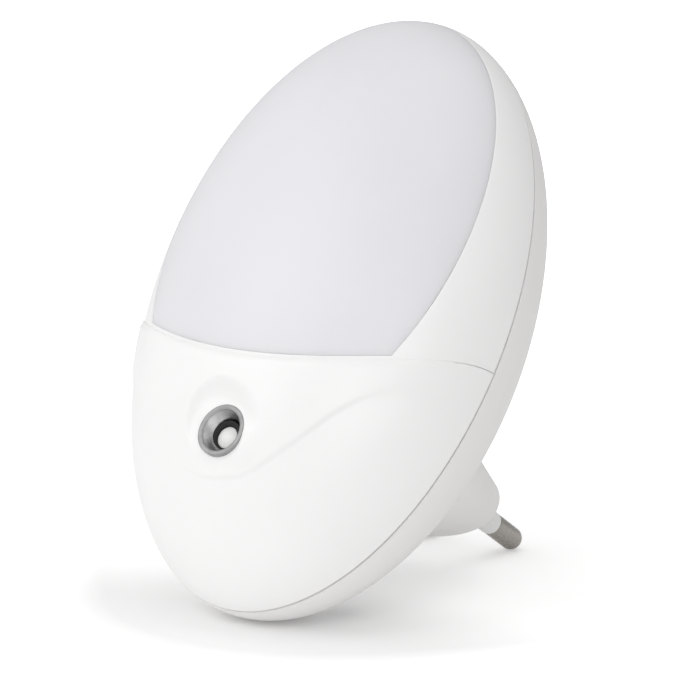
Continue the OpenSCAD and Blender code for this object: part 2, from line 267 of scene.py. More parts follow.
def finish_piece(obj, material, node):
    obj.data.materials.clear()
    obj.data.materials.append(material)
    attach(obj, "root")
    if node:
        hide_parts(*((node,) if isinstance(node, str) else node))


def edge_outward(edge, normal, middle):
    """Direction in the surface that leads away from the middle, across the edge."""
    along = unit(np.roll(edge, -1, axis=0) - np.roll(edge, 1, axis=0))
    out = unit(np.cross(normal, along))
    return out * np.sign((out * (edge - middle)).sum(-1, keepdims=True))


def bend(start, corner, end, count):
    """Rings along the soft curve that leads from start to end past a corner."""
    return [start * (1 - t) ** 2 + 2 * corner * t * (1 - t) + end * t**2 for t in np.linspace(0, 1, count)]


def rolled_edge(edge, normal, outward, radius, depth):
    """Rings that turn a shell's edge over and run it inwards."""
    rings = []
    for k in range(1, 6):
        a = math.pi / 2 * k / 5
        rings.append(edge - outward * radius * (1 - math.sin(a)) - normal * radius * (1 - math.cos(a)))
    for k in (0.15, 0.5, 1.0):
        rings.append(edge - normal * (radius + (depth - radius) * k))
    return rings


def turned(profile, count=96):
    """Points and faces of a profile of (radius, height) turned round z."""
    pts = []
    for r, h in profile:
        for k in range(count):
            a = 2 * math.pi * k / count
            pts.append((r * math.cos(a), r * math.sin(a), h))
    return np.array(pts), ring_faces(len(profile), count)


# ---- materials


def new_material(name, color, roughness, metallic=0.0, coat=0.0, specular=0.5):
    m = bpy.data.materials.new(name)
    m.use_nodes = True
    b = m.node_tree.nodes["Principled BSDF"]
    b.inputs["Base Color"].default_value = (*color, 1)
    b.inputs["Roughness"].default_value = roughness
    b.inputs["Metallic"].default_value = metallic
    b.inputs["Coat Weight"].default_value = coat
    b.inputs["Specular IOR Level"].default_value = specular
    m.diffuse_color = (*color, 1)
    return m, m.node_tree, b


def object_noise(tree, scale, detail=3.0):
    coords = tree.nodes.new("ShaderNodeTexCoord")
    noise = tree.nodes.new("ShaderNodeTexNoise")
    noise.inputs["Scale"].default_value = scale
    noise.inputs["Detail"].default_value = detail
    tree.links.new(coords.outputs["Object"], noise.inputs["Vector"])
    return noise.outputs["Fac"]


def remap(tree, source, low, high, to_low, to_high, kind="LINEAR"):
    """A value brought from one range to another."""
    node = tree.nodes.new("ShaderNodeMapRange")
    node.interpolation_type = kind
    for key, value in (("From Min", low), ("From Max", high), ("To Min", to_low), ("To Max", to_high)):
        node.inputs[key].default_value = value
    tree.links.new(source, node.inputs["Value"])
    return node.outputs["Result"]


def combine(tree, operation, *sources):
    node = tree.nodes.new("ShaderNodeMath")
    node.operation = operation
    for source, socket in zip(sources, node.inputs):
        tree.links.new(source, socket)
    return node.outputs[0]


def vary(tree, factor, low, high, target):
    tree.links.new(remap(tree, factor, 0.3, 0.7, low, high), target)


def tint(tree, factor, color_a, color_b, target):
    ramp = tree.nodes.new("ShaderNodeValToRGB")
    for stop, place, color in zip(ramp.color_ramp.elements, (0.35, 0.65), (color_a, color_b)):
        stop.position, stop.color = place, (*color, 1)
    tree.links.new(factor, ramp.inputs["Fac"])
    tree.links.new(ramp.outputs["Color"], target)


def roughen(tree, shader, scale, strength, distance):
    bump = tree.nodes.new("ShaderNodeBump")
    bump.inputs["Strength"].default_value = strength
    bump.inputs["Distance"].default_value = distance
    tree.links.new(object_noise(tree, scale, 2.0), bump.inputs["Height"])
    tree.links.new(bump.outputs["Normal"], shader.inputs["Normal"])


def shade(color, k):
    return tuple(min(1.0, c * k) for c in color)


def moulded_plastic(name, color, rough, grain=1400.0, bump=0.05, glow=0.0, specular=0.5):
    """White moulded plastic: faint mottling, uneven gloss and a very fine skin."""
    m, tree, b = new_material(name, color, rough, specular=specular)
    tint(tree, object_noise(tree, 60.0), shade(color, 0.985), color, b.inputs["Base Color"])
    vary(tree, object_noise(tree, 240.0, 4.0), rough * 0.88, rough * 1.14, b.inputs["Roughness"])
    roughen(tree, b, grain, bump, 0.00004)
    if glow:
        b.inputs["Subsurface Weight"].default_value = glow
        b.inputs["Subsurface Radius"].default_value = (1.0, 0.98, 0.95)
        b.inputs["Subsurface Scale"].default_value = 0.003
    return m


def plated_metal(name, color, rough):
    m, tree, b = new_material(name, color, rough, metallic=1.0)
    tint(tree, object_noise(tree, 160.0, 5.0), shade(color, 0.93), color, b.inputs["Base Color"])
    vary(tree, object_noise(tree, 900.0, 4.0), rough * 0.75, rough * 1.3, b.inputs["Roughness"])
    roughen(tree, b, 2200.0, 0.06, 0.00003)
    return m


def lens_resin(name):
    """Resin painted pale as a painted reflection of its white surroundings, clouded in its depth and smooth on
    top.
    """
    m, tree, b = new_material(name, (0.93, 0.93, 0.91), 0.12, coat=0.6)
    tint(tree, object_noise(tree, 700.0, 4.0), (0.88, 0.88, 0.86), (0.95, 0.95, 0.93), b.inputs["Base Color"])
    vary(tree, object_noise(tree, 500.0), 0.1, 0.16, b.inputs["Roughness"])
    return m


def inner_finishes():
    """One finish for each hidden node."""
    for node, name, color, rough in (
        ("photocell_leads", "tinned_lead", (0.7, 0.7, 0.7), 0.3),
        ("light_baffle", "baffle_black", (0.06, 0.06, 0.06), 0.7),
        ("reflector_tray", "tray_white", (0.88, 0.88, 0.86), 0.55),
        ("led_board", "led_board_white", (0.86, 0.86, 0.82), 0.4),
        ("led_wires", "red_insulation", (0.55, 0.08, 0.06), 0.45),
        ("driver_board", "board_mask", (0.12, 0.22, 0.11), 0.35),
        ("film_capacitor", "capacitor_yellow", (0.83, 0.62, 0.16), 0.25),
        ("electrolytic_capacitor", "capacitor_sleeve", (0.05, 0.08, 0.25), 0.28),
        ("bridge_rectifier", "rectifier_epoxy", (0.05, 0.05, 0.055), 0.55),
        ("transistor", "transistor_epoxy", (0.05, 0.05, 0.055), 0.55),
        ("resistors", "resistor_lacquer", (0.66, 0.52, 0.36), 0.4),
        ("fuse_resistor", "fuse_lacquer", (0.2, 0.4, 0.3), 0.4),
        ("pin_carrier", "carrier_white", (0.85, 0.84, 0.8), 0.5),
        ("contact_tabs", "contact_brass", (0.78, 0.62, 0.3), 0.3),
    ):
        metal = name in ("tinned_lead", "contact_brass")
        mat = plated_metal(name, color, rough) if metal else moulded_plastic(name, color, rough, 900.0, 0.08)
        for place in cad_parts[node].material_slots:
            place.material = mat


def props():
    return bpy.context.scene.lamp_sizes, bpy.context.scene.lamp_looks


def finish_of(name, make):
    return bpy.data.materials.get(name) or make(name)


def front_plastic():
    _, looks = props()
    return finish_of("front_white", lambda n: moulded_plastic(n, tuple(looks.front_white), 0.34))


def back_plastic():
    _, looks = props()
    return finish_of("back_white", lambda n: moulded_plastic(n, tuple(looks.back_white), 0.46, 1100.0, 0.1))


# ---- pieces


class LAMP_OT_diffuser(Operator):
    """Make the opal diffuser with its rolled edge and skirt"""

    bl_idname = "lamp.diffuser"
    bl_label = "Diffuser"

    def execute(self, context):
        sizes, looks = props()
        depth, n = sizes.front_depth, sizes.around
        outline = resample(lens_outline(sizes, 0.0, -0.01, 4 * n), n)
        edge_dir = dome_direction(outline[:, 0], outline[:, 1], depth)
        middle = dome_direction(np.zeros(n), np.full(n, LENS_MIDDLE + 4), depth)
        edge, normal = dome_point(edge_dir, depth), dome_normal(edge_dir, depth)
        outward = edge_outward(edge, normal, edge.mean(0))
        radius, skirt = 0.04, 3.5
        levels = np.linspace(0.01, 0.975, sizes.across)
        rings = [dome_point(slerp(middle, edge_dir, t), depth) for t in levels]
        rings += [edge - outward * radius] + rolled_edge(edge, normal, outward, radius, skirt)
        faces = ring_faces(len(rings), n)
        faces.append(tuple(range(n)))
        opal = finish_of(
            "opal_diffuser", lambda m: moulded_plastic(m, tuple(looks.opal), 0.4, 900.0, 0.06, glow=0.35)
        )
        add_piece("diffuser_dome", np.concatenate(rings), faces, opal, "diffuser")
        return {"FINISHED"}


class LAMP_OT_bezel(Operator):
    """Make the bezel that frames the diffuser, with its rolled edges"""

    bl_idname = "lamp.bezel"
    bl_label = "Bezel"

    def execute(self, context):
        sizes, _ = props()
        depth, n = sizes.front_depth, sizes.around * 2
        inner = resample(lens_outline(sizes, 0.01, 0.0, 4 * n), n)
        centre_z = 14.0
        centre = np.array([0.0, centre_z])
        angle = np.arctan2(*(inner - centre).T[::-1])
        # outer outline: the seam's oval above the arc, and the arc below it
        a = np.linspace(-math.pi, math.pi, 7201)
        sea = dome_point(seam_direction(a, depth), depth)
        keep = sea[:, 2] > arc_height(np.clip(sea[:, 0], -40, 40), 0.0)
        corner_x = np.abs(sea[keep][:, 0][np.argmin(sea[keep][:, 2])])
        xs = np.linspace(-corner_x, corner_x, 1200)
        outer = np.concatenate([sea[keep][:, [0, 2]], np.stack([xs, arc_height(xs, 0.0)], axis=-1)])
        outer_angle = np.arctan2(*(outer - centre).T[::-1])
        order = np.argsort(outer_angle)
        outer, outer_angle = outer[order], outer_angle[order]
        hit = [np.interp(angle, outer_angle, outer[:, k], period=2 * math.pi) for k in (0, 1)]
        hit = np.stack(hit, axis=-1)
        on_seam = hit[:, 1] > arc_height(hit[:, 0], 0.0) + 0.03
        seam_angle = np.arctan2(hit[:, 1] - FRONT_RAKE * SEAM, hit[:, 0] * HALF_H / HALF_W)
        arc_dir = dome_direction(hit[:, 0], hit[:, 1], depth)
        outer_dir = np.where(on_seam[:, None], seam_direction(seam_angle, depth), arc_dir)
        inner_dir = dome_direction(inner[:, 0], inner[:, 1], depth)
        rings, radius = [], np.where(on_seam, 0.14, sizes.rail_width * 0.08)[:, None]
        for direction, sign, skirt in ((inner_dir, -1, 4.5), (outer_dir, 1, 1.8)):
            edge, normal = dome_point(direction, depth), dome_normal(direction, depth)
            out = sign * edge_outward(edge, normal, np.array([0, edge[:, 1].mean(), centre_z]))
            rings.append([edge - out * radius] + rolled_edge(edge, normal, out, radius, skirt))
        t_values = np.linspace(0, 1, sizes.across // 2)[1:-1]
        middle = [dome_point(slerp(inner_dir, outer_dir, t), depth) for t in t_values]
        rows = rings[0][::-1] + middle + rings[1]
        rows.append(rows[0])
        faces, nodes = ring_faces(len(rows), n), ("front_bezel", "cover_rail")
        add_piece("front_bezel_shell", np.concatenate(rows), faces, front_plastic(), nodes)
        return {"FINISHED"}


# the pad's wavy edge, as x and z from its left end to its right
PAD_CREASE = np.array([
    (-40, -10), (-22, -24), (-18.5, -26.6), (-13.9, -29.8), (-10.8, -32), (-6.8, -34.4), (-3.3, -35.3),
    (0.3, -35.3), (4.6, -34.4), (7.3, -32.9), (10, -30.5), (12.9, -27.9), (15.8, -24.9), (18.4, -21.9),
    (21.5, -18.9), (24.6, -16.5), (28, -14.3), (31.9, -12), (45, -5),
], dtype=float)


def cover_relief(sizes, p):
    """How far the lower cover's surface stands proud of its dome, at points (x, y, z)."""
    x, z = p[:, 0], p[:, 2]
    # signed distance to the wave: positive on the sensor's side
    a, b = PAD_CREASE[:-1], PAD_CREASE[1:]
    q = np.stack([x, z], axis=-1)[:, None, :]
    ab = (b - a)[None]
    t = np.clip(((q - a[None]) * ab).sum(-1) / (ab**2).sum(-1), 0, 1)
    near = a[None] + t[..., None] * ab
    d = np.linalg.norm(q - near, axis=-1)
    k = d.argmin(1)
    row = np.arange(len(k))
    side = ab[0, k, 0] * (z - a[k, 1]) - ab[0, k, 1] * (x - a[k, 0])
    dist = d[row, k] * np.sign(side)
    # crisp in the middle of the wave, soft at its ends, and gone at the far right
    crisp, soft = ease(dist / 0.75 + 0.5), ease(dist / 3.0 + 0.5)
    along = near[row, k, 0]
    middle = np.clip((along + 9) / 9, 0, 1) * np.clip((27 - along) / 9, 0, 1)
    return sizes.pad_lift * (middle * crisp + (1 - middle) * soft) * (1 - ease((x - 20) / 13))


class LAMP_OT_lower_cover(Operator):
    """Make the lower cover with its wave-edged pad and the sensor's dish"""

    bl_idname = "lamp.lower_cover"
    bl_label = "Lower cover"

    def execute(self, context):
        sizes, _ = props()
        depth = sizes.front_depth + sizes.cover_lift
        wide, tall = 400, 200
        # top edge along the arc and bottom edge along the seam, from left to right
        a = np.linspace(math.pi, 2 * math.pi, 8001)
        sea = dome_point(seam_direction(a, depth), depth)
        low = sea[:, 2] < arc_height(np.clip(sea[:, 0], -40, 40), COVER_GAP)
        a0, a1 = a[low][0], a[low][-1]
        u = np.linspace(0, 1, wide)
        seam_dir = seam_direction(a0 + (a1 - a0) * u, depth)
        corner = abs(dome_point(seam_dir[:1], depth)[0, 0])
        xs = -corner * np.cos(math.pi * u)
        arc_dir = dome_direction(xs, arc_height(xs, COVER_GAP), depth)
        arc_dir[0], arc_dir[-1] = seam_dir[0], seam_dir[-1]
        rows, normals = [], []
        for t in np.linspace(0, 1, tall):
            n = slerp(arc_dir, seam_dir, t)
            rows.append(dome_point(n, depth))
            normals.append(dome_normal(n, depth))
        grid, normal = np.array(rows), np.array(normals)
        flat, nflat = grid.reshape(-1, 3), normal.reshape(-1, 3)
        relief = cover_relief(sizes, flat)
        top_fade = np.clip((arc_height(flat[:, 0], 0.0) - flat[:, 2]) / 1.2, 0, 1)
        flat = flat + nflat * (relief * top_fade)[:, None]
        # the sensor's dish: a shallow scoop whose upper left edge shows, level with the flange inside
        side, up = flat[:, 0] - DISH_MIDDLE[0], flat[:, 2] - DISH_MIDDLE[1]
        ramp = np.clip((sizes.dish_radius - np.hypot(side, up)) / 2.4, 0, 1)
        turn = np.arctan2(up, side) - math.radians(DISH_OPENS)
        turn = np.degrees(np.abs(np.angle(np.exp(1j * turn))))
        flat[:, 1] += DISH_DEPTH * ramp * (2 - ramp) * ease((105 - turn) / 60)
        rho = np.hypot(flat[:, 0] - SENSOR[0], flat[:, 2] - SENSOR[2])
        short = SENSOR[1] + 0.15 - flat[:, 1]
        flat[:, 1] += short * ease((8.2 - rho) / 3.7) * np.where(short > 0, 1.0, 0.35)
        grid = flat.reshape(grid.shape)
        edge_n = np.concatenate([normal[0], normal[-1][1:-1][::-1]])
        edge = np.concatenate([grid[0], grid[-1][1:-1][::-1]])
        out = edge_outward(edge, edge_n, np.array([0, edge[:, 1].mean(), -30]))
        radius, skirt = 0.2, 1.9
        rolled = rolled_edge(edge, edge_n, out, radius, skirt)
        inset = edge - out * radius
        grid[0], grid[-1][1:-1] = inset[:wide], inset[wide:][::-1]
        pts = grid.reshape(-1, 3)
        faces = []
        for r in range(tall - 1):
            for k in range(wide - 1):
                i = r * wide + k
                faces.append((i, i + 1, i + 1 + wide, i + wide))
        loop = list(range(wide)) + [(tall - 1) * wide + k for k in range(1, wide - 1)][::-1]
        start, m = len(pts), len(loop)
        for k in range(m):
            j = (k + 1) % m
            faces.append((loop[k], loop[j], start + j, start + k))
        faces += ring_faces(len(rolled), m, start)
        pts = np.concatenate([pts] + rolled)
        obj = add_piece("lower_cover_shell", pts, faces, front_plastic(), "lower_cover")
        cut_round_hole(obj, SENSOR, 4.3, 12.0, -15.0)
        return {"FINISHED"}


def cut_round_hole(obj, centre, radius, length, end_y, floor=False):
    """Opens a round hole along the pins' direction, runs its edge to a depth and closes it there if asked."""
    to_lamp = Matrix([stand(row) - stand(np.zeros(3)) for row in np.eye(3) * 1000.0])
    origin = Vector(stand(np.zeros(3)))
    bm = bmesh.new()
    bm.from_mesh(obj.data)

    def lamp(v):
        return to_lamp @ (v.co - origin) * 1000.0

    def off_axis(v):
        q = lamp(v)
        return abs(q.y - centre[1]) < length, math.hypot(q.x - centre[0], q.z - centre[2])

    inside = {f for f in bm.faces if all(near and r < radius for near, r in map(off_axis, f.verts))}
    rim = [e for e in bm.edges if len(e.link_faces) == 2 and sum(f in inside for f in e.link_faces) == 1]
    rim_verts = {v for e in rim for v in e.verts}
    bmesh.ops.delete(bm, geom=list(inside), context="FACES")
    for v in rim_verts:
        q = lamp(v)
        r = math.hypot(q.x - centre[0], q.z - centre[2])
        q.x, q.z = centre[0] + (q.x - centre[0]) * radius / r, centre[2] + (q.z - centre[2]) * radius / r
        v.co = Vector(stand(np.array(q)))
    made = bmesh.ops.extrude_edge_only(bm, edges=rim)["geom"]
    for v in (g for g in made if isinstance(g, bmesh.types.BMVert)):
        q = lamp(v)
        v.co = Vector(stand(np.array((q.x, end_y, q.z))))
    if floor:
        bmesh.ops.contextual_create(bm, geom=[g for g in made if isinstance(g, bmesh.types.BMEdge)])
    face_out(bm)
    bm.to_mesh(obj.data)
    bm.free()
    smooth_by(obj.data, 40)


def back_profile_y(e):
    """Depth of the back shell at a fraction e of its oval: a bulge with a flat end and a soft shoulder."""
    bulge = BACK_BULGE * np.sqrt(np.maximum(1 - np.minimum(e, 1.0) ** 2, 0))
    h = np.clip(0.5 + 0.5 * (bulge - BACK_DEPTH) / SHOULDER, 0, 1)
    return bulge * (1 - h) + BACK_DEPTH * h - SHOULDER * h * (1 - h)


def plug_face(count):
    """The plug face's full oval outline, as x and z about its middle."""
    t = np.linspace(0, 2 * math.pi, 2000, endpoint=False)
    wave = np.stack([np.cos(t), np.sin(t)], axis=-1)
    half = np.array([FACE_W / 2, FACE_H / 2])
    loop = half * np.sign(wave) * np.abs(wave) ** (2 / FACE_POWER)
    return resample(loop, count)


def apply_modifiers(obj):
    """Turns what the modifiers make into the object's own plain mesh."""
    bpy.context.view_layer.update()
    mesh = bpy.data.meshes.new_from_object(obj.evaluated_get(bpy.context.evaluated_depsgraph_get()))
    obj.modifiers.clear()
    mesh.name = obj.name
    obj.data = mesh


class LAMP_OT_back_shell(Operator):
    """Make the back shell with the flared block that carries the plug's face"""

    bl_idname = "lamp.back_shell"
    bl_label = "Back shell"

    def execute(self, context):
        sizes, _ = props()
        n = sizes.around
        face = plug_face(n)
        # a point on the base for each point of the face, where both ovals run the same way
        angle = np.arctan2(face[:, 1] / FACE_H * 1.18, face[:, 0] / FACE_W)
        cz = PLUG_Z
        base = np.stack([FLARE_W * np.cos(angle), FLARE_Z - cz + FLARE_H * np.sin(angle)], axis=-1)
        # where each side line of the block meets the back
        tt = np.linspace(0, 1.15, 600)
        line = face[:, None, :] + (base - face)[:, None, :] * tt[None, :, None]
        y_line = PLUG_Y + (FLARE_Y - PLUG_Y) * tt
        x, z = line[..., 0], line[..., 1] + cz
        e = np.sqrt((x / HALF_W) ** 2 + ((z + BACK_RAKE * y_line) / HALF_H) ** 2)
        below = y_line[None, :] <= back_profile_y(e)
        hit = np.where(below.any(1), below.argmax(1), len(tt) - 1)
        row = np.arange(n)
        foot = np.stack([x[row, hit], y_line[hit], z[row, hit]], axis=-1)
        top = np.stack([face[:, 0], np.full(n, PLUG_Y), face[:, 1] + cz], axis=-1)
        side = unit(foot - top)
        e_foot = e[row, hit]
        # back rings, from the foot to the seam, in the unsheared plane
        foot_flat = np.stack([foot[:, 0], foot[:, 2] + BACK_RAKE * foot[:, 1]], axis=-1)
        ray = unit(foot_flat - np.array([0, cz + 1.4]))
        ax, az = ray[:, 0] / HALF_W, ray[:, 1] / HALF_H
        fx, fz = foot_flat[:, 0] / HALF_W, foot_flat[:, 1] / HALF_H
        qa, qb, qc = ax**2 + az**2, 2 * (ax * fx + az * fz), fx**2 + fz**2 - 1
        reach = (-qb + np.sqrt(np.maximum(qb**2 - 4 * qa * qc, 0))) / (2 * qa)

        def back_at(level):
            """Point where e reaches the level, a fraction from the foot to the seam."""
            lo, hi = np.zeros(n), reach.copy()
            for _ in range(40):
                mid = (lo + hi) / 2
                g = foot_flat + ray * mid[:, None]
                em = np.hypot(g[:, 0] / HALF_W, g[:, 1] / HALF_H)
                lo, hi = np.where(em < level, mid, lo), np.where(em < level, hi, mid)
            g = foot_flat + ray * ((lo + hi) / 2)[:, None]
            em = np.hypot(g[:, 0] / HALF_W, g[:, 1] / HALF_H)
            y = back_profile_y(em)
            return np.stack([g[:, 0], y, g[:, 1] - BACK_RAKE * y], axis=-1)

        edge_e = 0.79
        beta0 = np.arccos(np.clip(np.maximum(e_foot, edge_e), 0, 1))
        levels = [e_foot + (np.maximum(edge_e, e_foot) - e_foot) * t for t in np.linspace(0, 1, 14)]
        levels += [np.cos(beta0 * (1 - t)) for t in np.linspace(0, 1, 26)[1:]]
        back = [back_at(np.minimum(lv, 0.99999)) for lv in levels]
        # fillet between the block's side and the back
        reach_f = 2.2
        after = back_at(np.clip(e_foot + reach_f / HALF_W, 0, 0.999))
        before = foot - side * reach_f
        fillet = bend(before, foot, after, 9)
        keep = []
        for b, lv in zip(back, levels):
            lv = np.broadcast_to(lv, e_foot.shape)
            t = (lv > e_foot + reach_f / HALF_W)[:, None]
            keep.append(np.where(t, b, after))
        # face, its round edge, and the block's side
        round_r = 0.7
        inwards = unit(np.stack([-face[:, 0], np.zeros(n), -face[:, 1]], axis=-1))
        start_in = top + inwards * round_r
        middle = np.array([0.0, PLUG_Y, cz])
        rings = [middle + (top - middle) * s for s in np.linspace(0.02, 0.88, 12)]
        start_side = top + side * round_r
        rings += bend(start_in, top, start_side, 7)
        rings += [start_side + (before - start_side) * t for t in np.linspace(0, 1, 18)[1:-1]]
        rings += fillet + keep[1:]
        rim = keep[-1]
        lip = 0.15
        out = unit(np.stack([rim[:, 0] / HALF_W**2, np.zeros(n), rim[:, 2] / HALF_H**2], axis=-1))
        down = np.stack([rim[:, 0], np.full(n, lip), rim[:, 2] + BACK_RAKE * (rim[:, 1] - lip)], axis=-1)
        rings.append(down)
        for k in range(1, 5):
            a = math.pi / 2 * k / 4
            q = down.copy()
            q[:, 1] = lip * (1 - math.sin(a))
            rings.append(q - out * lip * (1 - math.cos(a)))
        # the wall's inner side, back to the middle behind the block
        wall, cavity = 2.0, 12.3
        inner = down - out * wall
        inner[:, 1] = 0.0
        rings.append(inner.copy())
        for a in np.linspace(0, math.pi / 2, 12):
            y = 1.5 + (cavity - 1.5) * math.sin(a)
            q = inner * (1 - 0.36 * (1 - math.cos(a)))
            q[:, 1] = y
            q[:, 2] -= BACK_RAKE * y
            rings.append(q)
        faces = ring_faces(len(rings), n)
        faces.append(tuple(range(n)))
        faces.append(tuple(range((len(rings) - 1) * n, len(rings) * n)))
        pts = np.concatenate(rings)
        obj = add_piece("back_shell_body", pts, faces, back_plastic(), "back_shell")
        for side in (-1, 1):
            mouth = (side * SCREW_AT[0], 14.0, SCREW_AT[1])
            cut_round_hole(obj, mouth, POCKET_R, 2.6, POCKET_Y, floor=True)
        return {"FINISHED"}


class LAMP_OT_sensor(Operator):
    """Make the plated sensor cup and the lens at its bottom"""

    bl_idname = "lamp.sensor"
    bl_label = "Sensor"

    def execute(self, context):
        # profiles of (radius, height) over the flange's face
        cup = [(2.6, -6.0), (4.4, -6.0), (4.4, -0.22), (4.38, -0.09), (4.32, -0.03), (4.22, 0.0)]
        cup += [(3.74, -0.02), (3.66, -0.06), (3.6, -0.14), (3.56, -0.24), (3.54, -0.34)]
        cup += [(3.54 - 0.94 * w, -0.34 - 1.96 * w) for w in np.linspace(0, 1, 26)[1:]]
        cup += [(2.58, -2.5), (2.6, -4.0), (2.6, -6.0)]
        pts, faces = turned(cup)
        metal = finish_of("sensor_plating", self.plating)
        add_piece("sensor_cup_body", self.place(pts), faces, metal, "sensor_cup", 50)

        radius, rise, base = 1.85, 0.6, -1.9
        ball = (radius**2 + rise**2) / (2 * rise)
        lens = [(0.001, -3.2), (1.8, -3.2), (radius, -3.1), (radius, -2.56), (1.84, -2.5)]
        for a in np.linspace(math.asin(1.8 / ball), 0.0003, 18):
            lens.append((ball * math.sin(a), base - ball * (1 - math.cos(a))))
        pts, faces = turned(lens)
        pts[:, :2] += np.array(EYE_SHIFT)
        # the lens's pale colour is a painted reflection
        resin = finish_of("lens_resin", lens_resin)
        add_piece("sensor_lens_dome", self.place(pts), faces, resin, "sensor_lens", 50)

        # the photocell body is black, and its wide black lip round the lens is a painted dark reflection
        body = [(0.001, -8.1), (2.5, -8.1), (2.5, -2.45), (2.66, -2.25), (2.78, -2.05), (2.74, -1.97)]
        body += [(2.62, -1.94), (2.3, -2.12), (2.02, -2.25), (1.94, -2.4), (1.92, -3.15), (0.001, -3.15)]
        pts, faces = turned(body)
        pts[:, :2] += np.array(EYE_SHIFT) * ease((pts[:, 2:] + 3.2) / 0.5)
        painted_dark_reflection = (0.02, 0.02, 0.021)
        black = finish_of("photocell_black", lambda n: moulded_plastic(n, painted_dark_reflection, 0.55, 1200.0, 0.08, specular=0.2))
        add_piece("photocell_body", self.place(pts), faces, black, "photocell", 50)
        return {"FINISHED"}

    @staticmethod
    def plating(name):
        """Plating that is matt on the flange, with a painted reflection: the bowl's colour is painted lighter
        than the flange's.
        """
        metal = plated_metal(name, (0.42, 0.42, 0.425), 0.4)
        tree = metal.node_tree
        shader = tree.nodes["Principled BSDF"]
        coords = tree.nodes.new("ShaderNodeTexCoord")
        far = tree.nodes.new("ShaderNodeVectorMath")
        far.operation = "DISTANCE"
        far.inputs[1].default_value = tuple(stand(SENSOR))
        tree.links.new(coords.outputs["Object"], far.inputs[0])
        bowl_ends, flange_starts = 0.0035, 0.0037
        # painted reflection: light colour in the bowl, dark on the flange, set by distance from the cup's middle
        painted_reflection_tone = remap(tree, far.outputs["Value"], bowl_ends, flange_starts, 0.74, 0.37)
        rough_here = remap(tree, far.outputs["Value"], bowl_ends, flange_starts, 0.32, 0.55)
        worn = remap(tree, object_noise(tree, 700.0, 5.0), 0.3, 0.7, 0.85, 1.1)
        level = combine(tree, "MULTIPLY", painted_reflection_tone, worn)
        grey = tree.nodes.new("ShaderNodeCombineColor")
        for channel in ("Red", "Green", "Blue"):
            tree.links.new(level, grey.inputs[channel])
        tree.links.new(grey.outputs["Color"], shader.inputs["Base Color"])
        tree.links.new(rough_here, shader.inputs["Roughness"])
        return metal

    @staticmethod
    def place(pts):
        return np.stack([pts[:, 0] + SENSOR[0], SENSOR[1] - pts[:, 2], pts[:, 1] + SENSOR[2]], axis=-1)


class LAMP_OT_pins(Operator):
    """Make both round pins and their sleeves"""

    bl_idname = "lamp.pins"
    bl_label = "Pins and sleeves"

    def execute(self, context):
        _, looks = props()
        nickel = finish_of("pin_nickel", lambda n: plated_metal(n, tuple(looks.nickel), 0.26))
        pale = (0.78, 0.78, 0.77)
        white = finish_of("sleeve_plastic", lambda n: moulded_plastic(n, pale, 0.42, 1400.0, 0.06))
        toe = math.asin((PIN_GAP - TIP_GAP) / 2 / PIN_LENGTH)
        # profiles of (radius, height) over the plug's face
        shaft = [(1.5, -8.9), (1.5, 9.9), (1.86, 10.02), (1.97, 10.1), (2.0, 10.25), (2.0, 17.0)]
        for a in np.linspace(0.1, math.pi / 2 - 0.02, 14):
            shaft.append((2.0 * math.cos(a), 17.0 + 2.0 * math.sin(a)))
        cover = [(1.6, -1.5), (2.24, -1.5), (2.2, 0.0), (2.16, 2.0), (2.1, 6.0), (2.04, 9.6), (2.02, 9.85)]
        cover += [(1.93, 9.97), (1.75, 10.0), (1.56, 10.0), (1.56, -1.5), (1.6, -1.5)]
        count = 72
        for side, word in ((-1, "left"), (1, "right")):
            d = np.array([-math.sin(side * toe), math.cos(side * toe), 0])
            u = np.array([math.cos(side * toe), math.sin(side * toe), 0])
            w = np.array([0, 0, 1.0])
            root = np.array([side * PIN_GAP / 2, PLUG_Y, PLUG_Z])
            for name, profile, slot, mat, node in (
                (f"pin_{word}_metal", shaft, "pin_metal", nickel, f"pin_{word}"),
                (f"pin_{word}_sleeve", cover, "sleeve_plastic", white, f"pin_sleeve_{word}"),
            ):
                pts, faces = turned(profile, count)
                if profile is shaft:
                    last = len(pts) - count
                    faces.append(tuple(range(last, last + count)))
                    faces.append(tuple(range(count)))
                place = root + pts[:, :1] * u + pts[:, 1:2] * w + pts[:, 2:3] * d
                add_piece(name, place, faces, mat, node, 60)
        return {"FINISHED"}


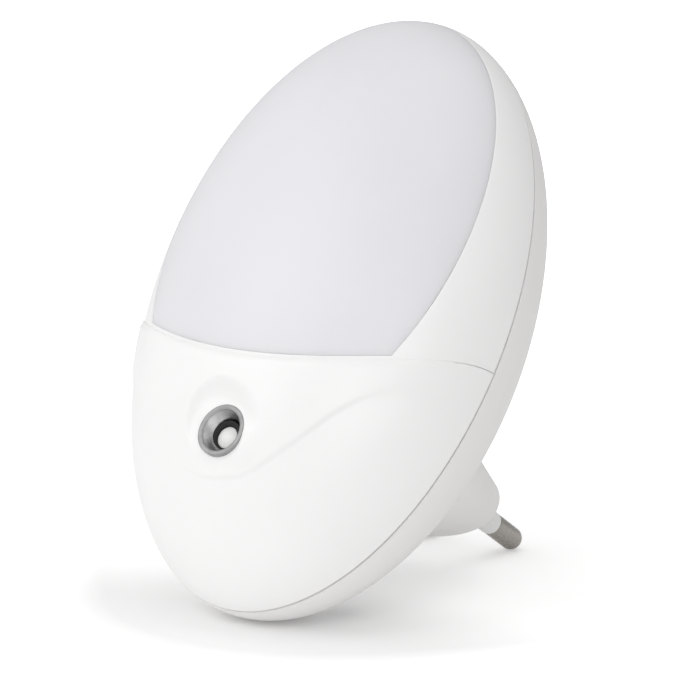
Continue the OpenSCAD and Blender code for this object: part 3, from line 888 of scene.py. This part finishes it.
def layout_tree(name, mirrored):
    """A tree that sets one piece on every point, once more mirrored if asked for, and gives it its finish."""
    tree = bpy.data.node_groups.new(name, "GeometryNodeTree")
    for label, kind in (
        ("Geometry", "Geometry"),
        ("Piece", "Object"),
        ("Finish", "Material"),
        ("Columns", "Int"),
        ("Rows", "Int"),
        ("Pitch", "Float"),
    ):
        tree.interface.new_socket(label, in_out="INPUT", socket_type="NodeSocket" + kind)
    tree.interface.new_socket("Geometry", in_out="OUTPUT", socket_type="NodeSocketGeometry")
    new, link = tree.nodes.new, tree.links.new
    given, made = new("NodeGroupInput"), new("NodeGroupOutput")
    piece = new("GeometryNodeObjectInfo")
    link(given.outputs["Piece"], piece.inputs["Object"])
    if mirrored:
        flip = new("GeometryNodeTransform")
        flip.inputs["Scale"].default_value = (-1.0, 1.0, 1.0)
        link(given.outputs["Geometry"], flip.inputs["Geometry"])
        points = new("GeometryNodeJoinGeometry")
        link(given.outputs["Geometry"], points.inputs["Geometry"])
        link(flip.outputs["Geometry"], points.inputs["Geometry"])
    else:
        points = new("GeometryNodeMeshGrid")
        for axis, count in (("X", "Columns"), ("Y", "Rows")):
            gaps = combine(tree, "SUBTRACT", given.outputs[count])
            gaps.node.inputs[1].default_value = 1.0
            size = combine(tree, "MULTIPLY", gaps, given.outputs["Pitch"])
            link(size, points.inputs["Size " + axis])
            link(given.outputs[count], points.inputs["Vertices " + axis])
    sets = new("GeometryNodeInstanceOnPoints")
    real = new("GeometryNodeRealizeInstances")
    finish = new("GeometryNodeSetMaterial")
    link(points.outputs[0], sets.inputs["Points"])
    link(piece.outputs["Geometry"], sets.inputs["Instance"])
    link(sets.outputs["Instances"], real.inputs["Geometry"])
    link(real.outputs["Geometry"], finish.inputs["Geometry"])
    link(given.outputs["Finish"], finish.inputs["Material"])
    link(finish.outputs["Geometry"], made.inputs["Geometry"])
    return tree


def set_out(name, single, material, node, points=(), grid=None, shift=(0, 0, 0)):
    """Repeats one mesh on mirrored points, or on a grid of columns, rows and pitch, in the lamp's frame."""
    piece = bpy.data.objects.new(name + "_one", single)
    start = bpy.data.meshes.new(name)
    start.from_pydata(list(points), [], [])
    obj = bpy.data.objects.new(name, start)
    for o in (piece, obj):
        bpy.context.scene.collection.objects.link(o)
    tree = layout_tree(name + "_layout", not grid)
    mod = obj.modifiers.new("layout", "NODES")
    mod.node_group = tree
    columns, rows, pitch = grid or (0, 0, 0.0)
    given = {"Piece": piece, "Finish": material, "Columns": columns, "Rows": rows, "Pitch": pitch}
    for item in tree.interface.items_tree:
        if item.in_out == "INPUT" and item.name in given:
            mod[item.identifier] = given[item.name]
    apply_modifiers(obj)
    bpy.data.objects.remove(piece)
    mesh = obj.data
    pts = np.array([v.co for v in mesh.vertices])
    if grid:
        pts = pts[:, [0, 2, 1]] * np.array([1, -1, 1])
    mesh.vertices.foreach_set("co", stand(pts + np.array(shift)).ravel())
    mesh.update()
    smooth_by(mesh, 35)
    finish_piece(obj, material, node)


def screw_mesh(head, length, facing):
    """A pan-head screw with a cross slot, its seat at the origin and its shank along y."""
    r, shank = 2.4, 1.2
    profile = [(0.001, head)]
    for a in np.linspace(math.pi / 2, 0.3, 6):
        profile.append((r - head * 0.5 * (1 - math.cos(a)), head * (0.45 + 0.55 * math.sin(a))))
    profile += [(r, head * 0.45), (r, 0.0), (shank, 0.0)]
    profile += [(shank - 0.17 * (k % 2), -0.3 - 0.3 * k) for k in range(int((length - 1.6) / 0.3))]
    profile += [(0.7, -length + 0.5), (0.001, -length)]
    pts, faces = turned(profile, 48)
    mesh = bpy.data.meshes.new("screw")
    mesh.from_pydata([(x, h * facing, z) for x, z, h in pts], [], faces)
    clean_up(mesh, 0.004)
    obj = bpy.data.objects.new("screw", mesh)
    bpy.context.scene.collection.objects.link(obj)
    wide, thin, taper = 1.35, 0.3, 0.6
    box = [(0, 3, 2, 1), (4, 5, 6, 7), (0, 1, 5, 4), (1, 2, 6, 5), (2, 3, 7, 6), (3, 0, 4, 7)]
    for x, z in ((wide, thin), (thin, wide)):
        # each arm of the cross is shorter at its bottom
        ends = (x * taper, z) if x > z else (x, z * taper)
        corners = [(-1, -1), (1, -1), (1, 1), (-1, 1)]
        low = [(ends[0] * i, (head - 0.95) * facing, ends[1] * k) for i, k in corners]
        high = [(x * i, (head + 0.4) * facing, z * k) for i, k in corners]
        slot = bpy.data.meshes.new("slot")
        slot.from_pydata(low + high, [], box)
        clean_up(slot)
        cutter = bpy.data.objects.new("slot", slot)
        bpy.context.scene.collection.objects.link(cutter)
        cut = obj.modifiers.new("slot", "BOOLEAN")
        cut.operation, cut.solver, cut.object = "DIFFERENCE", "EXACT", cutter
        apply_modifiers(obj)
        bpy.data.objects.remove(cutter)
    mesh = obj.data
    bpy.data.objects.remove(obj)
    return mesh


def led_mesh():
    """One surface-mounted LED: a frame with its round phosphor window."""
    w, h, t = 2.8, 3.5, 0.8
    n, window = 32, 1.15
    corners = np.array([(w / 2, -h / 2), (w / 2, h / 2), (-w / 2, h / 2), (-w / 2, -h / 2)])
    outline = np.roll(resample(corners, n), n // 8, axis=0)
    start = math.atan2(outline[0, 1], outline[0, 0])
    turn = start + 2 * math.pi * np.arange(n) / n
    circle = window * np.stack([np.cos(turn), np.sin(turn)], axis=-1)
    loops = ((outline, 0.0), (outline, t * 0.9), (outline * 0.965, t))
    loops += ((circle, t), (circle * 0.92, t - 0.12), (circle * 0.4, t - 0.1))
    bm = bmesh.new()
    ring = [[bm.verts.new((x, z, depth)) for x, z in loop] for loop, depth in loops]
    for a, b in zip(ring[:-1], ring[1:]):
        for k in range(n):
            bm.faces.new((a[k], a[(k + 1) % n], b[(k + 1) % n], b[k]))
    bm.faces.new(ring[-1])
    bm.faces.new(ring[0][::-1])
    face_out(bm)
    mesh = bpy.data.meshes.new("led")
    bm.to_mesh(mesh)
    bm.free()
    return mesh


class LAMP_OT_screws_and_leds(Operator):
    """Set out the screws and the LEDs"""

    bl_idname = "lamp.screws_and_leds"
    bl_label = "Screws and LEDs"

    def execute(self, context):
        zinc = finish_of("screw_zinc", lambda n: plated_metal(n, (0.6, 0.6, 0.6), 0.32))
        rows = (
            ("case_screw_set", 1.8, 13.0, 1, [(SCREW_AT[0], POCKET_Y, SCREW_AT[1])], "case_screws"),
            ("tray_screw_set", 1.6, 8.2, -1, [(14.0, -3.2, 36.0), (21.0, -3.2, 6.0)], "tray_screws"),
            ("board_screw_set", 1.6, 6.0, -1, [(18.0, 3.0, -6.0)], "board_screws"),
        )
        for name, head, length, facing, points, node in rows:
            set_out(name, screw_mesh(head, length, facing), zinc, node, points)
        resin = finish_of("led_resin", lambda n: moulded_plastic(n, (0.85, 0.78, 0.42), 0.2, 900.0, 0.08))
        middle = (0.0, -4.8, 16.0)
        set_out("led_set", led_mesh(), resin, "leds", grid=(3, 2, 8.0), shift=middle)
        return {"FINISHED"}


class LAMP_OT_inner_parts(Operator):
    """Give every hidden node its finish"""

    bl_idname = "lamp.inner_parts"
    bl_label = "Inner parts"

    def execute(self, context):
        inner_finishes()
        return {"FINISHED"}


# painted light on the floor: the least lift over its shadow, and a faint glow that lights the lamp from below
FLOOR_PAINTED_LIFT, FLOOR_GLOW = 0.07, 0.12
WORLD_LIGHT = 0.52
LAMPS = (
    ("key_panel", (-0.55, -0.75, 0.75), 3.5),
    ("top_panel", (0.1, 0.15, 1.0), 1.7),
    ("front_panel", (0.45, -0.85, 0.55), 2.9),
    ("left_panel", (-1.0, -0.1, 0.45), 0.8),
)
PANEL_SIZE = 0.8
CAMERA_AT = (0.4310099, -0.5527163, 0.1893535)
CAMERA_AXES = (
    (0.7908, 0.61159, -0.024352),
    (-0.10711, 0.177449, 0.978284),
    (0.60263, -0.771019, 0.205834),
)


def floor_paper():
    """White paper that the camera sees pale near the lamp and pure white far from it, with painted light lifting
    its shadow a little in front of the lamp and more behind it; to every other ray it glows faintly, as fill
    light on the lamp's undersides.
    """
    m = bpy.data.materials.new("floor_paper")
    m.use_nodes = True
    tree = m.node_tree
    tree.nodes.clear()
    new, link = tree.nodes.new, tree.links.new
    coords, path = new("ShaderNodeTexCoord"), new("ShaderNodeLightPath")
    away, split = new("ShaderNodeVectorMath"), new("ShaderNodeSeparateXYZ")
    away.operation = "LENGTH"
    link(coords.outputs["Object"], away.inputs[0])
    link(coords.outputs["Object"], split.inputs[0])
    # painted light over the floor's shadow, more behind the lamp than in front, then white round it and far away
    rises = [
        remap(tree, source, *ends, "SMOOTHSTEP")
        for source, ends in (
            (split.outputs["Y"], (-0.026, 0.004, FLOOR_PAINTED_LIFT, 0.32)),
            (away.outputs["Value"], (0.034, 0.062, 0.0, 0.45)),
            (away.outputs["Value"], (0.08, 0.4, 0.0, 0.7)),
        )
    ]
    total = combine(tree, "ADD", combine(tree, "MAXIMUM", *rises[:2]), rises[2])
    # rays other than the camera's see only the faint glow: painted fill light on the lamp's undersides
    part = new("ShaderNodeMix")
    part.inputs["A"].default_value = FLOOR_GLOW
    link(path.outputs["Is Camera Ray"], part.inputs["Factor"])
    link(total, part.inputs["B"])
    lit, white = new("ShaderNodeBsdfDiffuse"), new("ShaderNodeEmission")
    lit.inputs["Color"].default_value = (0.9, 0.9, 0.9, 1)
    white.inputs["Color"].default_value = (1, 1, 1, 1)
    link(part.outputs["Result"], white.inputs["Strength"])
    both, out = new("ShaderNodeAddShader"), new("ShaderNodeOutputMaterial")
    link(lit.outputs[0], both.inputs[0])
    link(white.outputs[0], both.inputs[1])
    link(both.outputs[0], out.inputs["Surface"])
    return m


def studio_world():
    """Soft even light, and a pure white background for the camera."""
    world = bpy.data.worlds.new("studio")
    world.use_nodes = True
    tree = world.node_tree
    tree.nodes.clear()
    mix, path = tree.nodes.new("ShaderNodeMixShader"), tree.nodes.new("ShaderNodeLightPath")
    tree.links.new(path.outputs["Is Camera Ray"], mix.inputs[0])
    for socket, strength in ((1, WORLD_LIGHT), (2, 1.0)):
        shader = tree.nodes.new("ShaderNodeBackground")
        shader.inputs["Color"].default_value = (1, 1, 1, 1)
        shader.inputs["Strength"].default_value = strength
        tree.links.new(shader.outputs[0], mix.inputs[socket])
    out = tree.nodes.new("ShaderNodeOutputWorld")
    tree.links.new(mix.outputs[0], out.inputs["Surface"])
    return world


class LAMP_OT_stage(Operator):
    """Set up the pale floor, the soft lamps and the camera"""

    bl_idname = "lamp.stage"
    bl_label = "Stage"

    def execute(self, context):
        scene = context.scene
        mesh = bpy.data.meshes.new("floor")
        s, z = 6.0, -0.0002
        mesh.from_pydata([(-s, -s, z), (s, -s, z), (s, s, z), (-s, s, z)], [], [(0, 1, 2, 3)])
        mesh.materials.append(floor_paper())
        floor = bpy.data.objects.new("floor", mesh)
        scene.collection.objects.link(floor)
        scene.world = studio_world()

        for name, place, power in LAMPS:
            data = bpy.data.lights.new(name, "AREA")
            data.shape, data.size, data.energy = "SQUARE", PANEL_SIZE, power
            lamp = bpy.data.objects.new(name, data)
            lamp.location = place
            aim = Vector((0.0, 0.0, 0.045)) - Vector(place)
            lamp.rotation_euler = aim.to_track_quat("-Z", "Y").to_euler()
            scene.collection.objects.link(lamp)

        data = bpy.data.cameras.new("camera")
        data.sensor_width, data.lens = 36.0, 229.344
        data.clip_start, data.clip_end = 0.02, 30.0
        camera = bpy.data.objects.new("camera", data)
        turn = Matrix(CAMERA_AXES).transposed().to_4x4()
        camera.matrix_world = Matrix.Translation(CAMERA_AT) @ turn
        scene.collection.objects.link(camera)
        scene.camera = camera
        scene.view_settings.view_transform = "Standard"
        return {"FINISHED"}


# ---- panel and registration


class LAMP_PT_panel(Panel):
    """Sizes, colours and steps of the night light"""

    bl_idname = "LAMP_PT_panel"
    bl_label = "Night light"
    bl_space_type = "VIEW_3D"
    bl_region_type = "UI"
    bl_category = "Night light"

    def draw(self, context):
        layout = self.layout
        for group in (context.scene.lamp_sizes, context.scene.lamp_looks):
            box = layout.box()
            for key in group.__annotations__:
                box.prop(group, key)
        for step in STEPS:
            layout.operator(step.bl_idname)


STEPS = (
    LAMP_OT_stage,
    LAMP_OT_back_shell,
    LAMP_OT_bezel,
    LAMP_OT_diffuser,
    LAMP_OT_lower_cover,
    LAMP_OT_sensor,
    LAMP_OT_pins,
    LAMP_OT_screws_and_leds,
    LAMP_OT_inner_parts,
)
CLASSES = (LampSizes, LampLooks, *STEPS, LAMP_PT_panel)


def register():
    for cls in CLASSES:
        bpy.utils.register_class(cls)
    bpy.types.Scene.lamp_sizes = PointerProperty(type=LampSizes)
    bpy.types.Scene.lamp_looks = PointerProperty(type=LampLooks)


def unregister():
    del bpy.types.Scene.lamp_looks
    del bpy.types.Scene.lamp_sizes
    for cls in reversed(CLASSES):
        bpy.utils.unregister_class(cls)


def main():
    register()
    for step in STEPS:
        group, name = step.bl_idname.split(".")
        result = getattr(getattr(bpy.ops, group), name)()
        if "FINISHED" not in result:
            raise RuntimeError(f"{step.bl_idname} didn't finish")


if __name__ == "__main__":
    main()
